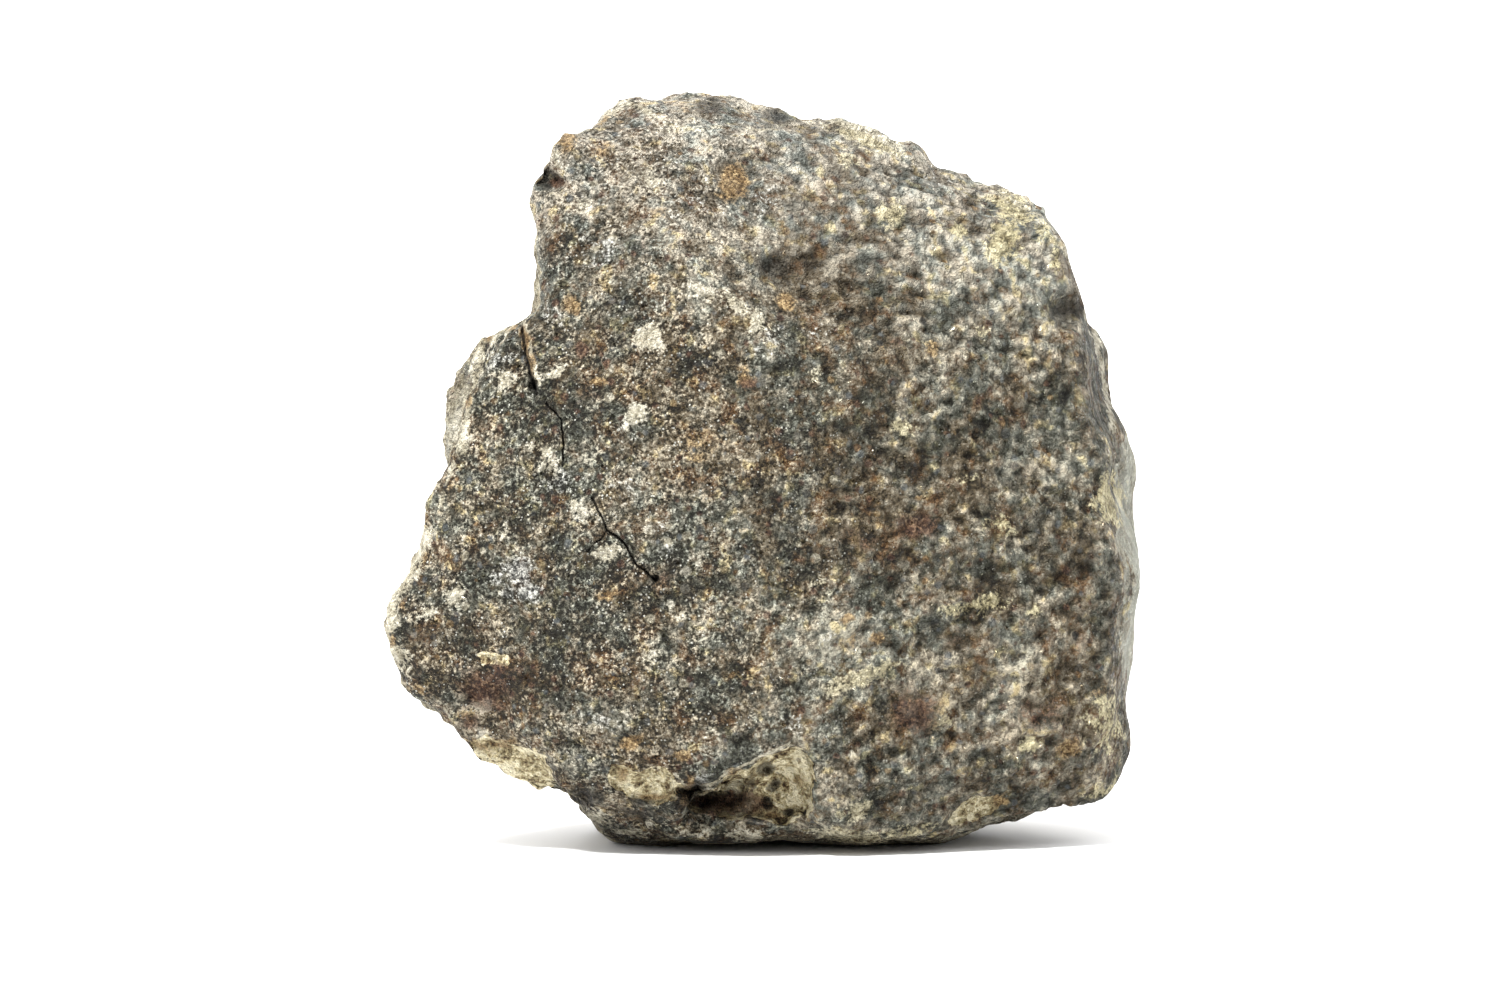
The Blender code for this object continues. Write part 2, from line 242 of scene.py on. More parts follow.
OCHRE_MARKS = [
    ((568, 138), 9, 16, 10, 1.0), ((735, 182), 13, 18, 0, 1.1), ((728, 200), 16, 6, 10, 0.7),
    ((572, 304), 12, 9, 20, 0.9), ((686, 796), 3, 12, 0, 0.9), ((597, 381), 10, 4, 0, 1.0),
    ((524, 340), 4, 20, -8, 0.9), ((510, 325), 14, 6, 0, 0.8), ((533, 366), 4, 14, -12, 0.7),
    ((785, 299), 9, 9, 0, 0.9), ((932, 348), 7, 8, 0, 0.9), ((920, 497), 9, 3, 0, 0.9),
    ((605, 597), 11, 5, 0, 0.8), ((630, 742), 13, 8, -25, 0.9), ((683, 755), 7, 6, 0, 0.8),
    ((650, 745), 5, 5, 0, 0.6), ((847, 618), 8, 5, -40, 0.9), ((876, 640), 6, 11, 40, 0.9),
    ((850, 640), 4, 9, 0, 0.6), ((705, 440), 26, 16, 0, 0.5), ((745, 378), 7, 13, 20, 0.7),
    ((700, 455), 14, 9, 0, 0.5), ((998, 803), 9, 5, 0, 1.0), ((600, 120), 18, 6, 0, 0.7),
    ((690, 106), 20, 5, 0, 0.5), ((1068, 749), 12, 9, 0, 1.0), ((688, 783), 5, 12, 0, 0.8),
    ((960, 690), 7, 5, 0, 0.6), ((872, 770), 9, 4, 0, 0.6), ((880, 350), 9, 5, 0, 0.5),
    ((840, 430), 12, 6, 0, 0.4), ((740, 530), 8, 6, 0, 0.4), ((660, 212), 12, 8, 0, 0.5),
    ((605, 150), 14, 8, 0, 0.6), ((480, 745), 20, 6, 25, 0.6), ((548, 645), 8, 5, 0, 0.4),
    ((420, 690), 12, 5, 40, 0.6), ((392, 640), 7, 9, 0, 0.7), ((404, 605), 5, 9, 20, 0.7),
    ((425, 556), 5, 9, 20, 0.6), ((449, 486), 5, 10, 10, 0.7), ((470, 402), 4, 12, 20, 0.7),
    ((486, 338), 6, 5, 0, 0.8), ((620, 775), 6, 9, 0, 0.7), ((655, 797), 18, 4, 5, 0.8),
    ((500, 742), 18, 4, 8, 0.8), ((735, 770), 10, 5, -20, 0.6), ((800, 780), 6, 8, 0, 0.6),
    ((770, 815), 18, 5, 0, 0.7), ((1100, 690), 12, 6, 0, 0.6), ((960, 770), 12, 5, 0, 0.5),
    ((790, 505), 10, 5, 0, 0.4),
]
RUST_MARKS = [
    ((582, 350), 5, 8, 0, 1.2), ((607, 363), 4, 5, 0, 1.1), ((559, 185), 9, 7, 0, 1.0),
    ((915, 525), 22, 14, 0, 0.9), ((915, 715), 28, 22, 0, 0.85), ((485, 690), 26, 24, 10, 0.8),
    ((500, 672), 18, 12, 0, 0.7), ((740, 803), 24, 12, 0, 1.1), ((712, 805), 18, 9, 0, 1.0),
    ((748, 385), 8, 8, 0, 0.8), ((1040, 715), 30, 18, 0, 0.6), ((640, 250), 22, 16, 0, 0.4),
    ((860, 540), 26, 14, 0, 0.5), ((590, 395), 14, 8, 0, 0.5), ((895, 345), 12, 6, 0, 0.6),
    ((665, 578), 10, 10, 0, 0.5), ((960, 640), 20, 14, 0, 0.4), ((545, 215), 14, 12, 0, 0.4),
    ((570, 600), 18, 12, 0, 0.35), ((800, 560), 14, 8, 0, 0.4), ((1080, 640), 16, 24, 0, 0.4),
    ((700, 485), 30, 14, 0, 0.4), ((470, 720), 16, 8, 30, 0.7), ((620, 210), 30, 12, 0, 0.35),
]
# Dark marks: partly dark spots of the crust, partly painted shade in the pits, the hollows, the cavity under
# the lip and along the bottom edge.
DARK_AND_SHADE_MARKS = [
    ((776, 268), 26, 14, 10, 0.8), ((812, 262), 20, 12, 0, 0.6), ((840, 240), 14, 10, 0, 0.5),
    ((1067, 308), 20, 14, 0, 0.9), ((655, 579), 5, 5, 0, 1.2), ((700, 800), 20, 9, 0, 1.2),
    ((695, 792), 12, 8, 0, 1.2), ((584, 797), 12, 8, 0, 1.1), ((545, 180), 13, 10, 0, 1.0),
    ((533, 386), 4, 9, -20, 1.2), ((712, 799), 26, 8, 0, 1.3), ((690, 800), 10, 9, 0, 1.4),
    ((612, 824), 16, 5, 25, 0.4), ((1000, 430), 20, 10, 0, 0.4), ((710, 106), 14, 9, 0, 0.9),
    ((780, 118), 16, 10, 0, 0.9), ((830, 470), 24, 12, 0, 0.4), ((910, 310), 24, 10, 0, 0.5),
    ((620, 330), 12, 22, 0, 0.4), ((530, 570), 26, 10, 0, 0.4), ((1083, 803), 9, 6, 0, 1.0),
    ((545, 240), 6, 20, 5, 0.5), ((870, 262), 20, 10, 0, 0.5), ((560, 700), 24, 12, 0, 0.45),
    ((940, 560), 26, 9, 0, 0.4), ((1060, 545), 20, 30, 0, 0.4), ((767, 768), 7, 6, 0, 1.3),
    ((775, 785), 6, 5, 0, 1.2), ((766, 803), 7, 6, 0, 1.2), ((790, 812), 6, 5, 0, 1.0),
    ((640, 812), 24, 6, 8, 0.7), ((705, 845), 60, 5, 0, 0.8), ((600, 795), 10, 12, 0, 0.6),
    ((648, 802), 26, 4, 4, 0.7), ((752, 782), 5, 12, 10, 0.7), ((1090, 560), 12, 30, 0, 0.5),
    ((645, 700), 26, 14, 0, 0.35), ((436, 640), 24, 16, 0, 0.4),
]
# Metal grains: partly their own pale colour and partly painted glint, near white in their fine grains.
METAL_GLINT_MARKS = [
    ((518, 576), 11, 15, 30, 1.0), ((526, 594), 15, 8, -20, 0.95), ((508, 596), 8, 7, 0, 0.7),
    ((532, 570), 6, 14, 20, 0.6), ((500, 572), 8, 14, 40, 0.5), ((620, 490), 22, 16, 30, 0.4),
    ((625, 430), 22, 16, 0, 0.4), ((560, 480), 22, 18, -40, 0.5), ((600, 250), 40, 20, 0, 0.4),
    ((690, 210), 40, 20, 0, 0.3), ((640, 300), 34, 12, 0, 0.35), ((500, 362), 18, 14, 0, 0.5),
    ((770, 340), 16, 22, 20, 0.4), ((820, 640), 26, 14, 0, 0.35), ((800, 720), 30, 14, 0, 0.35),
    ((600, 720), 40, 16, 0, 0.3), ((820, 330), 20, 8, 0, 0.4), ((720, 800), 8, 3, 0, 0.4),
    ((1000, 570), 30, 14, 0, 0.3), ((930, 180), 26, 9, 20, 0.4), ((760, 200), 30, 20, 0, 0.3),
    ((553, 320), 10, 20, 0, 0.4), ((700, 780), 16, 8, 0, 0.4), ((668, 540), 20, 26, 0, 0.35),
]


def camera_axes():
    """The camera's place, and the directions that it sees as right, up and forward."""
    forward = np.array((0.0, math.cos(ELEVATION), -math.sin(ELEVATION)))
    up = np.array((0.0, math.sin(ELEVATION), math.cos(ELEVATION)))
    return TARGET - DISTANCE * forward, np.array((1.0, 0.0, 0.0)), up, forward


def photo_places(points):
    """The pixel at which the camera sees each point."""
    eye, right, up, forward = camera_axes()
    away = points - eye
    scale = LENS / SENSOR * FRAME_SIZE[0] / (away @ forward)
    across = FRAME_SIZE[0] / 2 + scale * (away @ right)
    down = FRAME_SIZE[1] / 2 - scale * (away @ up)
    return np.stack((across, down), axis=1)


def smooth_step(value, start, end):
    """0 before start, 1 after end and a smooth rise between them."""
    t = np.clip((value - start) / (end - start), 0.0, 1.0)
    return t * t * (3.0 - 2.0 * t)


def line_distance(places, line):
    """Distance of each place from a line of straight stretches, its side, and how far along it lies."""
    line = np.array(line, float)
    nearest = np.full(len(places), np.inf)
    side = np.zeros(len(places))
    along = np.zeros(len(places))
    lengths = np.linalg.norm(np.diff(line, axis=0), axis=1)
    passed = 0.0
    for start, end, length in zip(line[:-1], line[1:], lengths):
        step = (end - start) / length
        offset = places - start
        reach = np.clip(offset @ step, 0.0, length)
        distance = np.linalg.norm(offset - reach[:, None] * step, axis=1)
        closer = distance < nearest
        nearest[closer] = distance[closer]
        side[closer] = np.sign(offset[closer, 0] * step[1] - offset[closer, 1] * step[0])
        along[closer] = (passed + reach[closer]) / lengths.sum()
        passed += length
    return nearest, side, along


def inside_depth(places, outline):
    """How far each place lies inside a closed outline: negative outside it."""
    corners = np.array(outline, float)
    distance = line_distance(places, np.vstack((corners, corners[:1])))[0]
    inside = np.zeros(len(places), bool)
    for (x0, y0), (x1, y1) in zip(corners, np.roll(corners, -1, axis=0)):
        crosses = (y0 > places[:, 1]) != (y1 > places[:, 1])
        with np.errstate(divide="ignore", invalid="ignore"):
            at = x0 + (places[:, 1] - y0) * (x1 - x0) / (y1 - y0)
        inside ^= crosses & (places[:, 0] < at)
    return np.where(inside, distance, -distance)


def noise_at(points, size, shift=0.0, octaves=1):
    """Smooth noise from about -1 to 1 at each point, with features of the given size."""
    offset = Vector((shift, 2.0 * shift, -shift))
    if octaves == 1:
        return np.array([noise.noise(Vector(p) / size + offset) for p in points])
    return np.array([noise.fractal(Vector(p) / size + offset, 0.8, 2.0, octaves) for p in points])


def read_points(mesh):
    points = np.empty(len(mesh.vertices) * 3)
    mesh.vertices.foreach_get("co", points)
    return points.reshape(-1, 3)


def read_normals(mesh):
    normals = np.empty(len(mesh.vertices) * 3)
    mesh.vertex_normals.foreach_get("vector", normals)
    return normals.reshape(-1, 3)


def write_points(mesh, points):
    mesh.vertices.foreach_set("co", points.ravel())
    mesh.update()


def edge_pairs(mesh):
    pairs = np.empty(len(mesh.edges) * 2, int)
    mesh.edges.foreach_get("vertices", pairs)
    return pairs.reshape(-1, 2)


def averaged(values, pairs, rounds):
    """Values at the vertices, blended with their neighbours' for a number of rounds."""
    count = np.bincount(pairs.ravel(), minlength=len(values))
    flat = values.ndim == 1
    result = values[:, None] if flat else values
    for _ in range(rounds):
        total = np.empty_like(result)
        for k in range(result.shape[1]):
            column = result[:, k]
            total[:, k] = np.bincount(pairs[:, 0], column[pairs[:, 1]], len(column))
            total[:, k] += np.bincount(pairs[:, 1], column[pairs[:, 0]], len(column))
        result = 0.5 * result + 0.5 * total / count[:, None]
    return result[:, 0] if flat else result


def facing_front(mesh):
    """1 where the surface faces the camera, 0 where it turns away."""
    return smooth_step(-read_normals(mesh)[:, 1], 0.05, 0.35)


def unit(vectors):
    """The vectors, each made one long."""
    return vectors / np.linalg.norm(vectors, axis=1)[:, None]


def even_skin():
    """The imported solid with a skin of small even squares, in millimetres."""
    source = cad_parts["meteorite"]
    shape = source.copy()
    shape.data = source.data.copy()
    bpy.context.scene.collection.objects.link(shape)
    skin = shape.modifiers.new("skin", "REMESH")
    skin.mode = "VOXEL"
    skin.voxel_size = SKIN_VOXEL * MM
    bpy.context.view_layer.update()
    mesh = bpy.data.meshes.new_from_object(shape.evaluated_get(bpy.context.evaluated_depsgraph_get()))
    bpy.data.objects.remove(shape)
    points = read_points(mesh) / MM
    write_points(mesh, averaged(points, edge_pairs(mesh), SKIN_ROUNDING))
    return mesh


def made_finer(mesh, wanted, rounding):
    """Splits each face that has a wanted vertex in four, then rounds what the old edges left."""
    shape = bmesh.new()
    shape.from_mesh(mesh)
    shape.verts.ensure_lookup_table()
    marked = set(np.flatnonzero(wanted).tolist())
    faces = [face for face in shape.faces if any(vert.index in marked for vert in face.verts)]
    edges = list(dict.fromkeys(edge for face in faces for edge in face.edges))
    bmesh.ops.subdivide_edges(shape, edges=edges, cuts=1, use_grid_fill=True)
    bmesh.ops.triangulate(shape, faces=[face for face in shape.faces if len(face.verts) > 4])
    shape.to_mesh(mesh)
    shape.free()
    write_points(mesh, averaged(read_points(mesh), edge_pairs(mesh), rounding))


def near_cracks(mesh, reach):
    """Which vertices of the front face lie less than reach pixels from a crack."""
    places = photo_places(read_points(mesh))
    near = np.zeros(len(places), bool)
    for line, _, _ in CRACKS.values():
        near |= line_distance(places, line)[0] < reach
    return near & (facing_front(mesh) > 0.0)


def near_detail(mesh):
    """Which vertices of the front face lie near a crack, the ledge, a chip's rim or a pit."""
    places = photo_places(read_points(mesh))
    near = line_distance(places, LEDGE_LINE)[0] < DETAIL_REACH
    for outline, _ in CHIPS:
        near |= np.abs(inside_depth(places, outline)) < DETAIL_REACH
    for centre, radius, _ in PITS:
        near |= np.linalg.norm(places - np.array(centre), axis=1) < radius + PIT_MARGIN
    return near & (facing_front(mesh) > 0.0) | near_cracks(mesh, DETAIL_REACH)


def small_pits(points, size, share, depth):
    """Pits scattered at random over cells of the given size: the higher the share, the more."""
    press = np.zeros(len(points))
    for index, point in enumerate(points):
        distances, seeds = noise.voronoi(Vector(point) / size)
        if noise.noise(seeds[0] * 5.1) > 1.0 - 2.0 * share:
            press[index] = max(0.0, 1.0 - (distances[0] / 0.32) ** 2)
    return depth * press


def relief(points, front, wall):
    """Height of the stone's fine lumps, ripples and broken facets, low on the smooth wall."""
    right_part = smooth_step(points[:, 0], -1.0, 5.0) * front
    left_part = front * (1.0 - smooth_step(points[:, 0], -1.0, 5.0))
    lumps = noise_at(points, 1.5, 3.1, 2)
    grains = noise_at(points, 0.6, 8.2, 2)
    stretched = points * np.array((0.5, 1.0, 1.0))
    ripples = 1.0 - 2.0 * np.abs(noise_at(stretched, 0.8, 5.5, 2))
    cells = np.array([noise.voronoi(Vector(p) / 1.6)[0][0] for p in points])
    height = lumps * (0.12 + 0.03 * right_part + 0.12 * (1.0 - front))
    height += grains * (0.1 + 0.06 * right_part + 0.04 * (1.0 - front))
    height += ripples * (0.04 * left_part + 0.12 * right_part)
    height += (0.4 - cells) * 0.3 * (1.0 - front)
    height -= small_pits(points, 1.1, 0.3, 0.26) * (0.35 + 0.45 * right_part + 0.4 * (1.0 - front))
    return height * (1.0 - 0.75 * wall)


def struck_in(places, points, front):
    """How far the ledge, the chips, the cracks and the pits lie back from the face."""
    distance, side = line_distance(places, LEDGE_LINE)[:2]
    fade = (1.0 - smooth_step(places[:, 1], *LEDGE_FADE)) * (1.0 - smooth_step(points[:, 1], -5.0, 1.0))
    inward = LEDGE_DEPTH * fade * smooth_step(-side * distance, -1.0, 5.0)
    broken = shifted(places, points, CHIP_WAVES)
    for outline, depth in CHIPS:
        inward += depth * smooth_step(inside_depth(broken, outline), -1.0, 5.0) * front
    for line, width, depth in CRACKS.values():
        distance, _, along = line_distance(places, line)
        inward += depth * front * np.clip(1.0 - distance / (1.3 * width * taper(along)), 0.0, None)
    for centre, radius, depth in PITS:
        share = np.linalg.norm(places - np.array(centre), axis=1) / radius
        inward += depth * np.clip(1.0 - share**2, 0.0, None) * front
    return inward


def carve(mesh):
    """Presses the relief, ledge, ridge, chips, pits and cracks into the skin."""
    points = read_points(mesh)
    normals = unit(averaged(read_normals(mesh), edge_pairs(mesh), 4))
    front = facing_front(mesh)
    places = shifted(photo_places(points), points, LINE_WAVES)
    wall = smooth_step(normals[:, 0], 0.5, 0.8)
    height = relief(points, front, wall) * smooth_step(points[:, 2], 0.05, 0.8)
    ridge = np.clip(1.0 - line_distance(places, RIDGE_LINE)[0] / RIDGE_WIDTH, 0.0, None)
    height += RIDGE_HEIGHT * front * ridge
    moved = points + normals * height[:, None]
    moved[:, 1] += struck_in(places, points, front)
    moved[:, 2] = np.maximum(moved[:, 2], 0.0)
    write_points(mesh, moved)


def taper(along):
    """A crack's width at each share of its length: full in the middle, narrow towards its ends."""
    return 0.5 + 0.5 * np.sin(math.pi * np.clip(along, 0.12, 0.8))


def shifted(places, points, waves):
    """The places shifted a little this way and that, which makes straight outlines ragged."""
    for pixels, size, *starts in waves:
        places = places + pixels * np.stack([noise_at(points, size, start) for start in starts], axis=1)
    return places


def marks_field(places, marks):
    """The strongest of the marks at each place: full at a mark's centre, half as strong at its rim."""
    field = np.zeros(len(places))
    for (x, y), half_width, half_height, turn, strength in marks:
        angle = math.radians(turn)
        dx = places[:, 0] - x
        dy = places[:, 1] - y
        u = (dx * math.cos(angle) + dy * math.sin(angle)) / half_width
        v = (dy * math.cos(angle) - dx * math.sin(angle)) / half_height
        field = np.maximum(field, strength * np.exp(-0.7 * (u * u + v * v)))
    return field


def behind_field(points, places):
    """1 on the pale outer side of the slab at the left, which lies behind the front face."""
    distance, side = line_distance(places, LEDGE_EDGE)[:2]
    behind = smooth_step(-side * distance, 0.0, 5.0) * smooth_step(points[:, 1], -6.0, -3.0)
    return behind * smooth_step(-points[:, 0], 10.0, 12.0) * smooth_step(7.0 - points[:, 1], 0.0, 6.0)


def crust_field(points, places, broad, behind):
    """1 where the dark crust covers the stone: its front, its top and patches of its back."""
    crust = smooth_step(-broad[:, 1] - 0.2 * np.clip(broad[:, 0], 0, None), 0.12, 0.38)
    near_top = smooth_step(broad[:, 2], 0.3, 0.6) * smooth_step(-points[:, 1], -5.0, -1.0)
    upper_side = smooth_step(points[:, 2], 19.0, 22.0) * smooth_step(-points[:, 1], -1.0, 3.0)
    upper_side *= smooth_step(points[:, 0], 0.0, 4.0)
    crust = np.maximum(crust, 0.85 * np.maximum(near_top, upper_side))
    across, down = WALL_RAGGEDNESS
    wander = np.stack((across * noise_at(points, 1.6, 2.2, 2), down * noise_at(points, 1.8, 7.4, 2)), axis=1)
    distance, side = line_distance(places + wander, WALL_EDGE)[:2]
    right_skin = smooth_step(-side * distance, -3.0, 6.0) * smooth_step(points[:, 0], 11.0, 13.0)
    right_skin *= smooth_step(-broad[:, 1], -0.2, 0.0)
    crust = np.maximum(crust, right_skin) * (1.0 - behind)
    back_skin = smooth_step(noise_at(points, 9.0, 4.4), 0.12, 0.3) * smooth_step(broad[:, 1], 0.2, 0.5)
    return np.maximum(crust, 0.8 * back_skin)


def chip_field(points, places):
    """1 inside the chips, 0 outside them."""
    broken = shifted(places, points, CHIP_WAVES)
    chip = np.zeros(len(points))
    for outline, _ in CHIPS:
        chip = np.maximum(chip, smooth_step(inside_depth(broken, outline), -2.0, 3.0))
    return chip


def crack_shade_field(places):
    """How much painted shade each place takes from a crack: 1 in the middle of a deep one."""
    crack = np.zeros(len(places))
    for line, width, depth in CRACKS.values():
        distance, _, along = line_distance(places, line)
        dark = np.clip(1.4 - distance / (width * taper(along)), 0.0, 1.0) * min(1.0, depth / 0.3)
        crack = np.maximum(crack, dark)
    return crack


def pale_field(places, ragged):
    """How much each place belongs to a thin pale edge."""
    pale = np.zeros(len(places))
    for line, width, strength in PALE_EDGES:
        distance = line_distance(0.7 * places + 0.3 * ragged, line)[0]
        pale = np.maximum(pale, strength * np.clip(1.5 - distance / width, 0.0, 1.0))
    return pale


def wall_field(points, broad):
    """1 on the smooth wall at the right, fading towards the back."""
    wall = smooth_step(broad[:, 0] + 0.3 * noise_at(points, 2.2, 6.6, 2), 0.45, 0.95)
    return wall * (1.0 - 0.75 * smooth_step(points[:, 1] + 3.0 * noise_at(points, 3.0, 9.1), -3.0, 4.0))


def sharp_field(points):
    """How strong the finest grain is: strongest at the left, weak at the right and high up."""
    high = smooth_step(points[:, 2], 22.0, 30.0)
    sharp = 1.4 - 0.95 * smooth_step(points[:, 0], -9.0, 9.0) - 0.2 * high
    return sharp - 0.3 * high * smooth_step(points[:, 0], -8.0, 2.0)


def paint_fields(mesh):
    """Stores at each vertex what the material needs to know of it."""
    points = read_points(mesh)
    pairs = edge_pairs(mesh)
    broad = unit(averaged(read_normals(mesh), pairs, 25))
    places = photo_places(points)
    ragged = shifted(places, points, MARK_WAVES)
    front = smooth_step(-broad[:, 1], 0.05, 0.3)
    behind = behind_field(points, places)
    # How far each place stands out from its rounded neighbours, used to paint light on bulges and shade in
    # hollows.
    shading_bulge = np.einsum("ij,ij->i", points - averaged(points, pairs, 8), broad)
    area = marks_field(places, LIGHT_AREAS) - marks_field(places, DARK_AREAS)
    brownness = marks_field(places, BROWN_AREAS) - marks_field(places, SLATE_AREAS)
    fields = {
        "crust": crust_field(points, places, broad, behind),
        # Painted shade along the cracks.
        "chip": chip_field(points, places) * front,
        "crack": crack_shade_field(places) * front,
        "shading_bulge": averaged(shading_bulge, pairs, 1),
        # Painted light: lighter towards the top, where the light falls.
        "painted_top_light": smooth_step(points[:, 2] + 0.12 * points[:, 0], 22.0, 33.0),
        "area": area * front,
        "brownness": brownness * front,
        "side_wall": wall_field(points, broad),
        "cream": marks_field(ragged, CREAM_MARKS) * front,
        "ochre": marks_field(ragged, OCHRE_MARKS) * front,
        "rust": marks_field(ragged, RUST_MARKS) * front,
        "dark": marks_field(ragged, DARK_AND_SHADE_MARKS) * front,
        "metal_glint": marks_field(ragged, METAL_GLINT_MARKS) * front,
        "pale": pale_field(places, ragged) * smooth_step(-broad[:, 1], -0.3, 0.1),
        "behind": behind,
        "right_part": smooth_step(points[:, 0], -4.0, 9.0) * front,
        "sharp": sharp_field(points),
    }
    for name, values in fields.items():
        field = mesh.attributes.new(name, "FLOAT", "POINT")
        field.data.foreach_set("value", values.astype(np.float32))


class Shade:
    """Adds nodes to a material or to the world with few words."""

    def __init__(self, owner):
        owner.use_nodes = True
        self.tree = owner.node_tree
        self.shader = self.tree.nodes.get("Principled BSDF")

    def put(self, value, socket):
        """Links an output to the socket, or sets the socket's own value."""
        if isinstance(value, bpy.types.NodeSocket):
            self.tree.links.new(value, socket)
        elif value is not None:
            socket.default_value = value

    def math(self, operation, a, b=None, c=None, clamp=False):
        node = self.tree.nodes.new("ShaderNodeMath")
        node.operation = operation
        node.use_clamp = clamp
        for value, socket in zip((a, b, c), node.inputs):
            self.put(value, socket)
        return node.outputs[0]

    def times(self, a, b, clamp=False):
        return self.math("MULTIPLY", a, b, clamp=clamp)

    def plus(self, a, b):
        return self.math("ADD", a, b)

    def vector(self, operation, a, b=None, scale=None):
        node = self.tree.nodes.new("ShaderNodeVectorMath")
        node.operation = operation
        self.put(a, node.inputs[0])
        self.put(b, node.inputs[1])
        self.put(scale, node.inputs[3])
        return node.outputs[0]

    def noise(self, place, scale, detail=2.0, roughness=0.5, colour=False):
        node = self.tree.nodes.new("ShaderNodeTexNoise")
        self.put(place, node.inputs["Vector"])
        self.put(scale, node.inputs["Scale"])
        self.put(detail, node.inputs["Detail"])
        self.put(roughness, node.inputs["Roughness"])
        return node.outputs["Color" if colour else "Fac"]

    def cells(self, place, scale):
        node = self.tree.nodes.new("ShaderNodeTexVoronoi")
        self.put(place, node.inputs["Vector"])
        self.put(scale, node.inputs["Scale"])
        return node.outputs

    def split(self, colour):
        node = self.tree.nodes.new("ShaderNodeSeparateColor")
        self.put(colour, node.inputs[0])
        return node.outputs

    def step(self, value, start, end):
        """The same as smooth_step. An end below the start turns it round."""
        node = self.tree.nodes.new("ShaderNodeMapRange")
        node.interpolation_type = "SMOOTHSTEP"
        self.put(value, node.inputs["Value"])
        self.put(start, node.inputs["From Min"])
        self.put(end, node.inputs["From Max"])
        return node.outputs[0]

    def mix(self, share, a, b, blend="MIX"):
        node = self.tree.nodes.new("ShaderNodeMix")
        node.data_type = "RGBA"
        node.blend_type = blend
        self.put(share, node.inputs["Factor"])
        self.put(a, node.inputs[6])
        self.put(b, node.inputs[7])
        return node.outputs[2]

    def ramp(self, value, stops):
        node = self.tree.nodes.new("ShaderNodeValToRGB")
        ramp = node.color_ramp
        while len(ramp.elements) < len(stops):
            ramp.elements.new(0.5)
        for element, (position, colour) in zip(ramp.elements, stops):
            element.position = position
            element.color = (*colour, 1.0)
        self.put(value, node.inputs[0])
        return node.outputs[0]

    def field(self, name):
        """A field that paint_fields stored."""
        node = self.tree.nodes.new("ShaderNodeAttribute")
        node.attribute_name = name
        return node.outputs["Fac"]

    def total(self, *weighted):
        """The sum of the values, each less its middle (a half if none is given) and times its weight."""
        result = None
        for value, weight, *middle in weighted:
            offset = middle[0] if middle else 0.5
            part = self.times(self.math("SUBTRACT", value, offset), weight)
            result = part if result is None else self.plus(result, part)
        return result

    def within(self, cells, pick, size, softness):
        """1 inside a spot in the middle of each cell: size gives its range and its least width."""
        size = self.math("MULTIPLY_ADD", pick, *size)
        return self.step(self.math("SUBTRACT", size, cells["Distance"]), *softness)

    def rim(self, share, strength):
        """Strongest where a share is a half, which is along its edge, and 0 where it is 0 or 1."""
        both = self.times(share, self.math("SUBTRACT", 1.0, share))
        return self.times(both, strength)


# Colours from dark to light for each kind of surface, and where each sits when its noises are even.
CRUST_RAMP = [
    (0.0, (0.0105, 0.009, 0.0049)),
    (0.25, (0.04, 0.0355, 0.0215)),
    (0.5, (0.112, 0.101, 0.0735)),
    (0.75, (0.247, 0.221, 0.166)),
    (1.0, (0.55, 0.49, 0.368)),
]
INNER_RAMP = [
    (0.0, (0.03, 0.022, 0.011)),
    (0.25, (0.115, 0.095, 0.056)),
    (0.5, (0.25, 0.22, 0.148)),
    (0.75, (0.41, 0.372, 0.265)),
    (1.0, (0.64, 0.595, 0.455)),
]
CREAM_RAMP = [
    (0.0, (0.12, 0.1, 0.064)),
    (0.3, (0.29, 0.256, 0.176)),
    (0.6, (0.5, 0.456, 0.34)),
    (1.0, (0.85, 0.8, 0.66)),
]
FRESH_RAMP = [
    (0.0, (0.03, 0.017, 0.008)),
    (0.25, (0.12, 0.08, 0.036)),
    (0.5, (0.34, 0.275, 0.15)),
    (0.75, (0.6, 0.51, 0.3)),
    (1.0, (0.86, 0.78, 0.55)),
]
METAL_GLINT_RAMP = [
    (0.0, (0.022, 0.023, 0.023)),
    (0.35, (0.1, 0.1, 0.092)),
    (0.6, (0.3, 0.298, 0.27)),
    (1.0, (0.85, 0.84, 0.77)),
]
OCHRE_RAMP = [
    (0.0, (0.06, 0.033, 0.014)),
    (0.5, (0.22, 0.135, 0.055)),
    (1.0, (0.58, 0.42, 0.21)),
]
RUST_RAMP = [
    (0.0, (0.014, 0.006, 0.004)),
    (0.5, (0.066, 0.031, 0.018)),
    (1.0, (0.22, 0.125, 0.07)),
]
CRUST_LEVEL = 0.478
INNER_LEVEL = 0.6
CREAM_LEVEL = 0.58
FRESH_LEVEL = 0.76
MARK_LEVEL = 0.5

# Colours that tint what they lie on.
BLUE_GREY = (0.86, 0.98, 1.06, 1.0)
BROWN = (1.14, 0.96, 0.79, 1.0)
NEUTRAL = (1.0, 1.0, 1.0, 1.0)
WARM = (1.1, 1.02, 0.78, 1.0)
# PAINTED_TOP_TINT cools the painted light towards the top.
PAINTED_TOP_TINT = (0.965, 0.995, 1.075, 1.0)
YELLOWISH = (1.04, 1.0, 0.78, 1.0)
RUSTY = (1.22, 0.86, 0.62, 1.0)

# Colours that cover what they lie on.
# PAINTED_GLINT is painted glints: bright specks that stand in for the sparkle of the grains.
PAINTED_GLINT = (0.62, 0.61, 0.54, 1.0)
SLATE = (0.11, 0.122, 0.125, 1.0)
